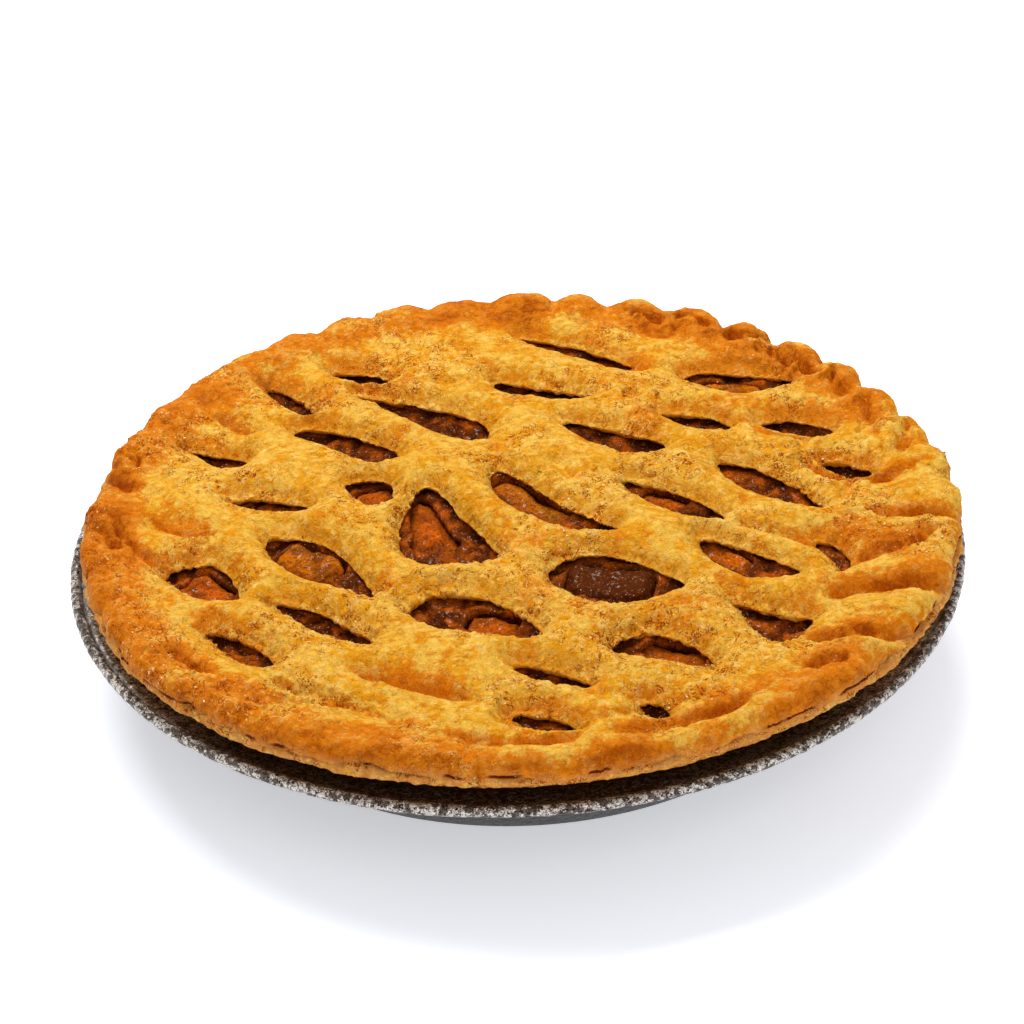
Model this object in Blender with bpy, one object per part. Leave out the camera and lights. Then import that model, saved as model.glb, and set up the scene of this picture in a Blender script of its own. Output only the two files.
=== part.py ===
"""Lattice apple pie baked in a rolled-rim foil tin.

The tin, the bottom crust and the filling nest inside each other. The lid is one sheet of
dough cut with staggered slits, which opened into eyes when the sheet was stretched over the
apples. Its edge and the bottom crust's lip are pinched together into flutes above the tin's rim.
Origin at the middle of the tin's underside, +Z up, metres.
"""

import math
from typing import NamedTuple

import bmesh
import bpy
from mathutils import Matrix, Vector, noise
from mathutils.geometry import delaunay_2d_cdt

MM = 0.001
GAP = 0.3 * MM  # clearance between pieces that touch

# Foil tin
FOOT_RADIUS = 85.5 * MM  # where the wall's outer face would meet the table
WELL_RADIUS = 111 * MM  # the same face at the flange
FLANGE_HEIGHT = 32 * MM
FLANGE_DIP = 0.2 * MM  # how far the flange's inner edge lies under the middle of the bead
FOIL = 0.5 * MM
BEAD_CENTRE = 120.3 * MM
BEAD_RADIUS = 1.7 * MM
BEAD_MOUTH = math.radians(40)  # left open in the roll where the flange enters it
WALL_SLOPE = (WELL_RADIUS - FOOT_RADIUS) / FLANGE_HEIGHT
WALL_COS = 1 / math.hypot(1, WALL_SLOPE)
CORNER = 2.2 * MM  # how far the rounded corner reaches along floor and wall

# Bottom crust
CRUST = 3.5 * MM
LIP_RADIUS = 118.6 * MM  # mean radius of the pinched edge
LIP_UNDER = FLANGE_HEIGHT + 5.9 * MM  # underside of the lip at its edge
SEAM_HEIGHT = LIP_UNDER + 2.8 * MM  # top of the lip at its edge, under the lid
LIP_BULGE = 0.4 * MM  # how far the middle of the lip's edge stands out
LIP_ROOT = FLANGE_HEIGHT + 7 * MM  # top of the crust's inner wall
NECK = 1.5 * MM  # the crust's step up and out from the cup to the lip's underside

# Lid
DOME_HEIGHT = FLANGE_HEIGHT + 14.6 * MM
DOME_RADIUS = 102 * MM  # where the lattice ends and the pinched rim begins
DOME_EDGE = DOME_HEIGHT - 3.4 * MM
RIM_RISE = 2.6 * MM  # how far the rim's crest stands over the edge of the dome
RIM_LEAN = 1.6  # over 1, the crest lies nearer to the pinched edge
RIM_MIDDLE = 109 * MM
BASE_RADIUS = 110 * MM  # where the lid's underside meets the lip
EDGE_ROUND = 3 * MM
EDGE_RISE = 1.8 * MM  # height of the rim's widest ring over the seam
EDGE_BULGE = 0.3 * MM  # how far that ring stands out, and how far the seam is drawn in
LATTICE = 5 * MM  # thickness of the strands
DOUGH_LUMPS = 0.4 * MM
LUMP_SIZE = 14 * MM

# Flutes pinched into lip and lid, deepest at the back right
FLUTES = 40
FIRST_CREST = math.radians(6.9)
FLUTE_OUT = 1.4 * MM
FLUTE_UP = 1.5 * MM
FLUTE_WANDER = 0.15  # unevenness of their spacing, in flutes
DEEPEST_FLUTES = math.radians(55)
SHALLOW_FLUTES = 0.2  # share of the depth left at the front and left
FLUTE_FALL = 6  # how quickly they turn shallow on either side
FLUTE_TURNS = (-0.5, -0.22, 0.22)  # a valley and the two sides of a crest, in flutes
FLUTE_DEPTHS = (-1.5, 0.85, 0.85)
MIDDLE_FLUTES, ROOT_FLUTES = 0.7, 0.3  # share of the depth left at the rim's middle and root

# Rings round an eye, from the strand's crest down: millimetres out from the eye's edge, and
# how far down the strand's thickness
EYE_RINGS = [(3.6, 0.0), (1.2, 0.2), (0.0, 0.6), (0.8, 1.0)]
MOST_OF_STRAND = 0.43  # the crest ring moves at most this far into a narrow strand

# Filling
SYRUP_BELOW_LID = 0.9 * MM
SYRUP_LUMPS = 0.35 * MM
SYRUP_LUMP_SIZE = 11 * MM
BRIM_DROP = 1.2 * MM  # the filling's edge under the top of the crust's wall
FILLING_MOST = FLANGE_HEIGHT + 10 * MM
CHUNK_ROUND = 0.2  # bevel of a chunk's edges, as a share of its width
EYE_HEADROOM = 2.6 * MM  # how far below the lid's top a chunk may come in an open eye

# Mesh density
AROUND_TIN = 56
BEAD_STEPS = 6
DOUGH_GRID = 9 * MM
SYRUP_GRID = 15 * MM
EYE_STEP = 12 * MM
LOOP_ROOM = 0.42  # share of the grid kept free of points beside a loop
MERGE = 1e-7


class Eye(NamedTuple):
    """A slit of the lid from tip to tip, with how far each lip was pulled aside. Millimetres."""

    x1: float
    y1: float
    x2: float
    y2: float
    far: float  # the lip on the left, walking from tip 1 to tip 2
    near: float  # the lip on the right
    far_belly: float = 0.5  # where along the slit each lip was pulled furthest
    near_belly: float = 0.5
    square: float = 0.75  # power of the lips' arch: 1 is a pointed lens, 0.4 nearly a box


# Slits run from back left to front right, row by row from the back of the pie.
EYES = [
    Eye(3, 98.5, 36, 76.5, 3, 3, 0.5, 0.5, 0.75),
    Eye(50.5, 70, 81.5, 66.5, 3.5, 8.5, 0.3, 0.5, 0.8),
    Eye(-52, 81.5, -34.5, 73.5, 2.5, 2.5, 0.5, 0.5, 0.75),
    Eye(-4.5, 70, 22.5, 59, 1, 6, 0.4, 0.45, 1.05),
    Eye(-71.5, 76, -55.5, 56, 2.5, 3, 0.45, 0.65, 0.75),
    Eye(-44, 67.5, -8.5, 35, 9, 3, 0.75, 0.7, 0.6),
    Eye(-62, 47, -31.5, 27.5, 5.5, 4, 0.4, 0.75, 0.45),
    Eye(14, 44, 43, 29.5, 2, 9, 0.5, 0.7, 0.6),
    Eye(41.5, 48, 62, 39.5, 3, 4.5, 0.55, 0.65, 1),
    Eye(70, 41, 90.5, 38, 3, 4, 0.5, 0.55, 0.85),
    Eye(85, 19, 99, 15, 2, 4, 0.5, 0.6, 0.85),
    Eye(-94, 42, -74, 32.5, 0.5, 8, 0.35, 0.8, 1),
    Eye(-79, 12, -56, 4, 2.5, 2, 0.5, 0.5, 0.75),
    Eye(-47, 15.5, -36.5, 1.5, 10.5, 2.5, 0.5, 0.8, 0.75),
    Eye(-25, 9.5, -5, -25, 1.5, 21, 0.15, 0.65, 0.5),
    Eye(-4.5, 18.5, 27.5, -14.5, -2, 12, 0.6, 0.45, 0.7),
    Eye(30, 10.5, 56.5, -9, 3, 6, 0.4, 0.5, 0.75),
    Eye(57, 20.5, 83, -4.5, 4, 6, 0.45, 0.4, 0.95),
    Eye(-94.5, -22.5, -73.5, -37, 10.5, 5, 0.35, 0.6, 1),
    Eye(-66.5, -9, -37.5, -40.5, 6.5, 7, 0.4, 0.3, 1.1),
    Eye(-64.5, -39.5, -38, -60.5, 2.5, 4, 0.5, 0.55, 0.9),
    Eye(-82, -50.5, -63, -67.5, 3.5, 3.5, 0.45, 0.6, 0.85),
    Eye(-29.5, -47.5, 5.5, -61, 11.5, 4.5, 0.35, 0.5, 0.65),
    Eye(8, -34.5, 43.5, -40.5, 10.5, 11, 0.3, 0.45, 0.95),
    Eye(49, -20, 74.5, -35.5, 2, 9, 0.4, 0.55, 0.65),
    Eye(55, -47.5, 76, -55.5, -2.5, 15, 0.6, 0.75, 0.4),
    Eye(22, -68.5, 49, -76.5, 11, -0.5, 0.4, 0.65, 0.9),
    Eye(-3, -73.5, 17.5, -83, 2.5, 2.5, 0.5, 0.5, 0.75),
    Eye(-3, -93, 13.5, -101.5, 3, 2.5, 0.6, 0.55, 0.8),
    Eye(28.5, -91, 36, -95.5, 3, 2.5, 0.45, 0.7, 0.95),
    Eye(79.5, -20.5, 83, -37, 7, -3.5, 0.5, 0.7, 0.6),
]

# Slits that baked shut and show as grooves, with the width of their banks
GROOVES = [
    Eye(-84, 60, -72, 44, 3, 3),
    Eye(-100, 7, -81, -9, 3, 3),
    Eye(-46, -70, -10, -90, 3, 3),
    Eye(-64, -78, -42, -88, 3, 3),
    Eye(-101, 28, -90, 15, 3, 3),
]
GROOVE_DEPTH = 1.6 * MM


class Apple(NamedTuple):
    """A chunk of apple that shows in an eye: its middle, turn and lean in degrees, and size."""

    x: float
    y: float
    turn: float
    length: float
    width: float
    depth: float
    lean: float  # lifts the far side
    crown: float = 1.0  # share of the size left at the top
    root: float = 0.72  # share of the size left at the bottom
    tip: float = 1.0  # share of the width left at the end that its turn points to


APPLES = [
    Apple(-24, -4, 100, 36, 21, 14, -6, 0.8, 1.0, 0.5),
    Apple(-55, -20, -42, 21, 13, 12, 6),
    Apple(-82, -28, -50, 19, 13, 12, 6),
    Apple(4, 5, -50, 31, 10, 12, 8),
    Apple(39, -67, -24, 21, 11, 12, 8),
    Apple(-7, -51, -19, 17, 12, 11, 6),
    Apple(55, -23, -50, 18, 9, 11, 5),
    Apple(41, 4, -36, 15, 8, 11, 5),
    Apple(-38, 12, 20, 13, 11, 11, 4),
    Apple(64, 66, -11, 20, 9, 9, 8, 1.0, 0.6),
    Apple(24, -36, -15, 26, 17, 12, 5),
]

# Where apples underneath push the lid up: x, y, reach and height in millimetres
LIFTS = [(-20, 8, 17, 2.0), (4, 8, 15, 1.0), (-52, -8, 18, 0.8), (30, -22, 16, 1.0)]


def material(name, colour, roughness, metallic=0.0):
    """A Principled material of one colour."""
    made = bpy.data.materials.new(name)
    made.use_nodes = True
    shader = made.node_tree.nodes["Principled BSDF"]
    shader.inputs["Base Color"].default_value = (*colour, 1)
    shader.inputs["Roughness"].default_value = roughness
    shader.inputs["Metallic"].default_value = metallic
    return made


def add_object(name, bm, surface, smooth_angle=50):
    """Closes a bmesh into a shown object with its faces pointing out."""
    bmesh.ops.triangulate(bm, faces=bm.faces)
    bmesh.ops.recalc_face_normals(bm, faces=bm.faces)
    mesh = bpy.data.meshes.new(name)
    bm.to_mesh(mesh)
    bm.free()
    mesh.shade_smooth()
    mesh.set_sharp_from_angle(angle=math.radians(smooth_angle))
    if surface:
        mesh.materials.append(surface)
    made = bpy.data.objects.new(name, mesh)
    bpy.context.scene.collection.objects.link(made)
    return made


def strip(bm, loop, other):
    """Closes the band between two loops, where the second may have more points than the first."""
    times = len(other) // len(loop)
    for i, vert in enumerate(loop):
        beyond = [other[(i * times + step) % len(other)] for step in range(times + 1)]
        for first, second in zip(beyond[:-2], beyond[1:-1]):
            bm.faces.new((vert, first, second))
        bm.faces.new((vert, *beyond[-2:], loop[(i + 1) % len(loop)]))


def stack(bm, loops):
    """Joins each loop of vertices to the next, whichever has more points."""
    for loop, other in zip(loops, loops[1:]):
        if len(loop) <= len(other):
            strip(bm, loop, other)
        else:
            strip(bm, other, loop)


def verts_at(bm, points):
    """A vertex at each point."""
    return [bm.verts.new(point) for point in points]


def circle(radius, height, count):
    """Points round the axis, the first one on +X."""
    turns = (2 * math.pi * i / count for i in range(count))
    return [Vector((radius * math.cos(turn), radius * math.sin(turn), height)) for turn in turns]


def flute_circle(radius, height):
    """One point for each flute, in its valley, round the axis."""
    valleys = flute_angles()[:: len(FLUTE_TURNS)]
    return [
        Vector((radius * math.cos(angle), radius * math.sin(angle), height))
        for angle, _ in valleys
    ]


def cup_line(depth, top):
    """The tin's cup, this deep inside its outer face: its corner and end, as (radius, height)."""
    corner = FOOT_RADIUS + depth * WALL_SLOPE - depth / WALL_COS
    on_floor = Vector((corner - CORNER, depth))
    at_corner = Vector((corner, depth))
    on_wall = at_corner + CORNER * WALL_COS * Vector((WALL_SLOPE, 1))
    middle = 0.25 * on_floor + 0.5 * at_corner + 0.25 * on_wall
    end = Vector((corner + (top - depth) * WALL_SLOPE, top))
    return [on_floor, middle, on_wall, end]


def lumps(x, y, size, seed):
    """Smooth unevenness between about -1 and 1, with features of this size."""
    return noise.noise(Vector((x / size, y / size, seed)))


def flute_angles():
    """Where the points of the pinched edge lie, and how far out each is, flute by flute."""
    points = []
    for flute in range(FLUTES):
        wander = FLUTE_WANDER * noise.noise(Vector((flute * 0.6, 0, 5)))
        for turn, depth in zip(FLUTE_TURNS, FLUTE_DEPTHS):
            angle = FIRST_CREST + 2 * math.pi * (flute + turn + wander) / FLUTES
            points.append((angle, depth * flute_strength(angle)))
    return points


def flute_strength(angle):
    """Share of the flutes' full depth at this angle."""
    away = math.remainder(angle - DEEPEST_FLUTES, 2 * math.pi)
    return SHALLOW_FLUTES + (1 - SHALLOW_FLUTES) * math.cos(0.5 * away) ** FLUTE_FALL


def fluted(radius, height, share=1.0):
    """Points of the pinched edge at a mean radius, where height is a number or a function."""
    points = []
    for angle, amount in flute_angles():
        out = radius + share * FLUTE_OUT * amount
        x, y = out * math.cos(angle), out * math.sin(angle)
        level = height(x, y) if callable(height) else height
        points.append(Vector((x, y, level + share * FLUTE_UP * amount)))
    return points


def dome(x, y):
    """Height of the lid's top, before its flutes."""
    radius = math.hypot(x, y)
    if radius <= DOME_RADIUS:
        height = DOME_HEIGHT - (DOME_HEIGHT - DOME_EDGE) * (radius / DOME_RADIUS) ** 2
    else:
        out = min(1.0, (radius - DOME_RADIUS) / (LIP_RADIUS - DOME_RADIUS))
        height = DOME_EDGE + RIM_RISE * math.sin(math.pi * out**RIM_LEAN)
    for lift_x, lift_y, reach, rise in LIFTS:
        away = math.hypot(x - lift_x * MM, y - lift_y * MM) / (reach * MM)
        height += rise * MM * math.exp(-(away**2))
    return height + DOUGH_LUMPS * lumps(x, y, LUMP_SIZE, 3)


def lifted(points, sink=0.0):
    """Plan points raised to the lid's top, less a sinking."""
    return [Vector((p.x, p.y, dome(p.x, p.y) - sink)) for p in points]


def eye_outline(eye):
    """The eye's edge as plan points, more on a longer eye, and the way out at each."""
    tip = Vector((eye.x1, eye.y1)) * MM
    along = Vector((eye.x2, eye.y2)) * MM - tip
    across = along.orthogonal().normalized()
    half = 3 + round(along.length / EYE_STEP)
    points = []
    far, near = (eye.far, eye.far_belly), (-eye.near, eye.near_belly)
    for (pull, belly), steps in ((far, range(half)), (near, range(half, 0, -1))):
        power = math.log(0.5) / math.log(belly)
        for step in steps:
            share = 0.5 - 0.5 * math.cos(math.pi * step / half)
            arch = max(0.0, math.sin(math.pi * share**power)) ** eye.square
            points.append(tip + along * share + across * pull * MM * arch)
    outward = []
    for i, point in enumerate(points):
        chord = points[(i + 1) % len(points)] - points[i - 1]
        outward.append(Vector((-chord.y, chord.x)).normalized())
    return points, outward


def strand_rooms(outlines):
    """For each point of each outline, how far the nearest other eye is."""
    rooms = []
    for own, (points, _) in enumerate(outlines):
        others = [p for i, (ps, _) in enumerate(outlines) if i != own for p in ps]
        rooms.append([min((point - other).length for other in others) for point in points])
    return rooms


def inside(point, loop):
    """Whether a plan point lies in a closed loop."""
    crossed = False
    for a, b in zip(loop, loop[1:] + loop[:1]):
        if (a.y > point.y) != (b.y > point.y):
            if point.x < a.x + (point.y - a.y) / (b.y - a.y) * (b.x - a.x):
                crossed = not crossed
    return crossed


def spread(loops, grid, reach):
    """Plan points spread evenly within a radius, clear of every loop."""
    edges = [point.xy for loop in loops for point in loop]
    steps = int(reach / grid) + 2
    found = []
    for row in range(-steps, steps + 1):
        for column in range(-steps, steps + 1):
            point = Vector((column + 0.5 * (row % 2), row * math.sqrt(0.75))) * grid
            near = any((point - edge).length < LOOP_ROOM * grid for edge in edges)
            if point.length < reach and not near and not any(inside(point, lp) for lp in loops):
                found.append(point)
    return found


def sheet(bm, rim, holes, extra, lines=()):
    """Fills a round rim of points with triangles, round its holes. It returns rim and hole loops."""
    points, edges = [], []
    for loop in (rim, *holes):
        first, count = len(points), len(loop)
        points += loop
        edges += [(first + i, first + (i + 1) % count) for i in range(count)]
    for line in lines:
        edges += [(len(points) + i, len(points) + i + 1) for i in range(len(line) - 1)]
        points += line
    points += extra
    flat = [point.xy for point in points]
    placed, _, faces, origins, *_ = delaunay_2d_cdt(flat, edges, [], 0, MERGE)
    verts = verts_at(bm, (points[sources[0]] for sources in origins))
    for face in faces:
        middle = sum((placed[i] for i in face), Vector((0, 0))) / len(face)
        if inside(middle, rim) and not any(inside(middle, hole) for hole in holes):
            bm.faces.new([verts[i] for i in face])
    vert_of = {source: vert for sources, vert in zip(origins, verts) for source in sources}
    loops, first = [], 0
    for loop in (rim, *holes):
        loops.append([vert_of[first + i] for i in range(len(loop))])
        first += len(loop)
    return loops


def groove_line(groove):
    """The bottom of a closed slit, from tip to tip."""
    tips = [Vector((groove.x1, groove.y1)) * MM, Vector((groove.x2, groove.y2)) * MM]
    plan = [tips[0].lerp(tips[1], share) for share in (0, 0.3, 0.7, 1)]
    ends, deep = lifted(plan), lifted(plan, GROOVE_DEPTH)
    return [ends[0], *deep[1:3], ends[3]]


def lattice_lid(surface):
    """The slit and stretched sheet, domed over the filling, with rounded strands."""
    outlines = [eye_outline(eye) for eye in EYES]
    rooms = strand_rooms(outlines)
    eye_rings = []
    for out, sink in EYE_RINGS:
        loops = []
        for (points, outward), room in zip(outlines, rooms):
            moves = (out * min(MM, MOST_OF_STRAND * space / EYE_RINGS[0][0]) for space in room)
            moved = [p + way * move for p, way, move in zip(points, outward, moves)]
            loops.append(lifted(moved, sink * LATTICE))
        eye_rings.append(loops)
    crests, *sides, feet = eye_rings
    grooves = [groove_line(groove) for groove in GROOVES]
    banks = [lifted(eye_outline(groove)[0]) for groove in GROOVES]
    rim = fluted(LIP_RADIUS - EDGE_ROUND, dome)
    inner_rim = fluted(RIM_MIDDLE, dome, MIDDLE_FLUTES)
    root = fluted(DOME_RADIUS, dome, ROOT_FLUTES)[::2]
    strands = lifted(spread([*crests, *banks], DOUGH_GRID, DOME_RADIUS - 0.5 * DOUGH_GRID))
    bm = bmesh.new()
    extra = inner_rim + root + strands + [p for bank in banks for p in bank]
    top, *top_eyes = sheet(bm, rim, crests, extra, grooves)
    base = flute_circle(BASE_RADIUS, LIP_ROOT + 2 * GAP)
    under, *under_eyes = sheet(bm, base, feet, [])
    for number, (above, below) in enumerate(zip(top_eyes, under_eyes)):
        stack(bm, [above, *(verts_at(bm, loops[number]) for loops in sides), below])
    edge = verts_at(bm, fluted(LIP_RADIUS + EDGE_BULGE, SEAM_HEIGHT + EDGE_RISE))
    seam = verts_at(bm, fluted(LIP_RADIUS - EDGE_BULGE, SEAM_HEIGHT + GAP))
    stack(bm, [top, edge, seam, under])
    return add_object("lattice_lid", bm, surface)


def foil_tin(surface):
    """The tin: a sloping cup, a flat flange and a rolled bead round it."""
    bead = []
    for step in range(BEAD_STEPS + 1):
        turn = math.pi + 0.5 * BEAD_MOUTH + (2 * math.pi - BEAD_MOUTH) * step / BEAD_STEPS
        bead.append(Vector((math.cos(turn), math.sin(turn))) * BEAD_RADIUS)
    bead = [point + Vector((BEAD_CENTRE, FLANGE_HEIGHT)) for point in bead]
    outside = cup_line(0, FLANGE_HEIGHT - MM)
    inside_face = cup_line(FOIL, FLANGE_HEIGHT - MM + FOIL)
    flange = Vector((WELL_RADIUS + MM, FLANGE_HEIGHT - FLANGE_DIP))
    profile = [*outside, flange, *bead, flange + Vector((0, FOIL)), *inside_face[::-1]]
    bm = bmesh.new()
    loops = [verts_at(bm, circle(radius, height, AROUND_TIN)) for radius, height in profile]
    stack(bm, loops)
    bm.faces.new(loops[0])
    bm.faces.new(loops[-1])
    return add_object("foil_tin", bm, surface)


def bottom_crust(surface):
    """The dough that lines the tin, with its lip pinched up over the flange."""
    floor, _, wall, end = cup_line(FOIL + GAP, FLANGE_HEIGHT)
    inner_floor, _, inner_wall, root = cup_line(FOIL + GAP + CRUST, LIP_ROOT)
    bm = bmesh.new()
    neck = Vector((WELL_RADIUS + NECK, FLANGE_HEIGHT + NECK))
    loops = [verts_at(bm, flute_circle(*point)) for point in (floor, wall, end, neck)]
    lip_middle = 0.5 * (LIP_UNDER + SEAM_HEIGHT)
    for out, level in ((0, LIP_UNDER), (LIP_BULGE, lip_middle), (-EDGE_BULGE, SEAM_HEIGHT)):
        loops.append(verts_at(bm, fluted(LIP_RADIUS + out, level)))
    loops += [verts_at(bm, flute_circle(*point)) for point in (root, inner_wall, inner_floor)]
    stack(bm, loops)
    bm.faces.new(loops[0])
    bm.faces.new(loops[-1])
    return add_object("bottom_crust", bm, surface)


def ceiling(x, y):
    """How high the filling may reach: under a strand, or some way up into an open eye."""
    point = Vector((x, y))
    open_above = any(inside(point, eye_outline(eye)[0]) for eye in EYES)
    return dome(x, y) - (EYE_HEADROOM if open_above else LATTICE)


def apple_block(apple, grow=0.0):
    """One wedge of apple under the lid, as a bmesh, swollen by grow to cut its own pocket."""
    bm = bmesh.new()
    bmesh.ops.create_cube(bm, size=1)
    for vert in bm.verts:
        taper = apple.crown if vert.co.z > 0 else apple.root
        pinch = apple.tip if vert.co.x > 0 else 1
        vert.co.x *= apple.length * MM * taper
        vert.co.y *= apple.width * MM * taper * pinch
        vert.co.z *= apple.depth * MM
    bmesh.ops.bevel(
        bm, geom=bm.edges, affect="EDGES", offset=CHUNK_ROUND * apple.width * MM,
        segments=1, profile=0.5, material=-1,
    )
    lean = Matrix.Rotation(math.radians(apple.lean), 4, "X")
    turn = Matrix.Rotation(math.radians(apple.turn), 4, "Z")
    bm.transform(turn @ lean)
    top = max(vert.co.z for vert in bm.verts)
    x, y = apple.x * MM, apple.y * MM
    ceilings = (ceiling(x + v.co.x, y + v.co.y) - (v.co.z - top) for v in bm.verts if v.co.z > 0)
    level = min(ceilings) - 2 * GAP - top
    bm.transform(Matrix.Translation((x, y, level)))
    bm.normal_update()
    moves = [(vert, vert.normal.copy()) for vert in bm.verts]
    for vert, normal in moves:
        vert.co += normal * grow
    return bm


def filling(surface):
    """The syrup and diced apple that fill the crust, solid, with a pocket for each shown chunk."""
    floor, _, wall, brim = cup_line(FOIL + 2 * GAP + CRUST, LIP_ROOT - BRIM_DROP)
    rim = flute_circle(*brim)
    surface_points = []
    for point in spread([], SYRUP_GRID, brim.x - 0.5 * SYRUP_GRID):
        bump = SYRUP_LUMPS * lumps(point.x, point.y, SYRUP_LUMP_SIZE, 8)
        level = dome(point.x, point.y) - LATTICE - SYRUP_BELOW_LID + bump
        surface_points.append(Vector((point.x, point.y, min(level, FILLING_MOST))))
    bm = bmesh.new()
    top = sheet(bm, rim, [], surface_points)[0]
    loops = [verts_at(bm, flute_circle(*point)) for point in (floor, wall)]
    stack(bm, [*loops, top])
    bm.faces.new(loops[0])
    made = add_object("filling", bm, surface)
    pockets = bpy.data.collections.new("pockets")
    pockets.hide_render = True
    bpy.context.scene.collection.children.link(pockets)
    for number, apple in enumerate(APPLES, 1):
        cutter = add_object(f"pocket_{number}", apple_block(apple, GAP), None)
        bpy.context.scene.collection.objects.unlink(cutter)
        pockets.objects.link(cutter)
        cutter.hide_render = True
        cutter.display_type = "WIRE"
    cut = made.modifiers.new("pockets", "BOOLEAN")
    cut.operand_type = "COLLECTION"
    cut.collection = pockets
    cut.operation = "DIFFERENCE"
    cut.solver = "EXACT"
    return made


def main():
    for old in list(bpy.data.objects):
        bpy.data.objects.remove(old)
    foil = material("foil", (0.62, 0.61, 0.58), 0.32, 1.0)
    dough = material("baked dough", (0.72, 0.36, 0.08), 0.6)
    lid_dough = material("golden lid", (0.80, 0.46, 0.13), 0.55)
    syrup = material("spiced syrup", (0.16, 0.055, 0.018), 0.22)
    cooked_apple = material("cooked apple", (0.45, 0.19, 0.05), 0.3)
    foil_tin(foil)
    bottom_crust(dough)
    filling(syrup)
    for number, apple in enumerate(APPLES, 1):
        add_object(f"apple_piece_{number:02d}", apple_block(apple), cooked_apple)
    lattice_lid(lid_dough)


main()
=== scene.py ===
"""Finishes the lattice apple pie: baked dough, glossy filling, foil tin, floor, light and camera."""

import itertools
import math

import bmesh
import bpy
import numpy as np
from mathutils import Matrix, Vector
from mathutils.bvhtree import BVHTree
from mathutils.kdtree import KDTree


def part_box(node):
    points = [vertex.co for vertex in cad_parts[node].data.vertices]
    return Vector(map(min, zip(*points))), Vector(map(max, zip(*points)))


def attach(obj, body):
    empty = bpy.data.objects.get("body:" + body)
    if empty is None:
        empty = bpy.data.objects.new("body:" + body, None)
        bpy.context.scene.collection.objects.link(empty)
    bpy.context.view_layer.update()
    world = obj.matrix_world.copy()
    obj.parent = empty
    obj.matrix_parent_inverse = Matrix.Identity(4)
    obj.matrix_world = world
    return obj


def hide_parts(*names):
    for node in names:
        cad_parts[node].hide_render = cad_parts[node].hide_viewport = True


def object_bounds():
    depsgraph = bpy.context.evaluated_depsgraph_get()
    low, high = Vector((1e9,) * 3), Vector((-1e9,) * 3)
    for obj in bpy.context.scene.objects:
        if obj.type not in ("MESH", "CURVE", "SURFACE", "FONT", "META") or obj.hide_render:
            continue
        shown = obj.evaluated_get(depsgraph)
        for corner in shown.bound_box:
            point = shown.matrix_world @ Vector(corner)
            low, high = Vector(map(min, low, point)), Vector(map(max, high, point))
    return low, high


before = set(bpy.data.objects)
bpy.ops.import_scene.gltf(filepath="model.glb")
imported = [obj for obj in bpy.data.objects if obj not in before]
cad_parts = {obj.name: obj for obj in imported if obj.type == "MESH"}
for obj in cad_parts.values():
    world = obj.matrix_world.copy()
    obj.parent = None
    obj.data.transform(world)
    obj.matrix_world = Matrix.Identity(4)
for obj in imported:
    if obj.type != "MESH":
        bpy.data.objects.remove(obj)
CAD_BOX = [list(corner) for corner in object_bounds()]

bl_info = {
    "name": "Lattice Apple Pie",
    "version": (1, 0, 0),
    "blender": (4, 5, 0),
    "location": "3D View > Sidebar > Pie",
    "description": "Builds the baked lid, crust, filling and foil tin of an apple pie",
    "category": "Object",
}

MM = 0.001
LOWEST, HIGHEST = (Vector(corner) for corner in CAD_BOX)
TIN_RADIUS = 0.5 * (HIGHEST.x - LOWEST.x)
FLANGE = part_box("foil_tin")[1].z - 1.7 * MM  # height of the tin's flat flange
MERGE = 1e-6
MOST_TRIANGLES = 195_000
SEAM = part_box("bottom_crust")[1].z - 1.3 * MM  # height where the rim lies on the crust below
HEM = SEAM + 0.3 * MM  # top of the crumbly strip under the rim's roll
APPLES = sorted(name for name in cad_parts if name.startswith("apple_piece"))


def rgb(red, green, blue):
    """A display colour, 0 to 255, as the linear colour that the shaders and properties take."""
    def linear(value):
        share = value / 255
        return share / 12.92 if share <= 0.04045 else ((share + 0.055) / 1.055) ** 2.4

    return linear(red), linear(green), linear(blue)


def colour(name, description, default):
    return bpy.props.FloatVectorProperty(
        name=name, description=description, subtype="COLOR", size=3, min=0, max=1, default=default
    )


def length(name, description, default):
    return bpy.props.FloatProperty(
        name=name, description=description, unit="LENGTH", subtype="DISTANCE", min=0,
        precision=5, default=default,
    )


def count(name, description, default):
    return bpy.props.IntProperty(name=name, description=description, min=0, default=default)


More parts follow.
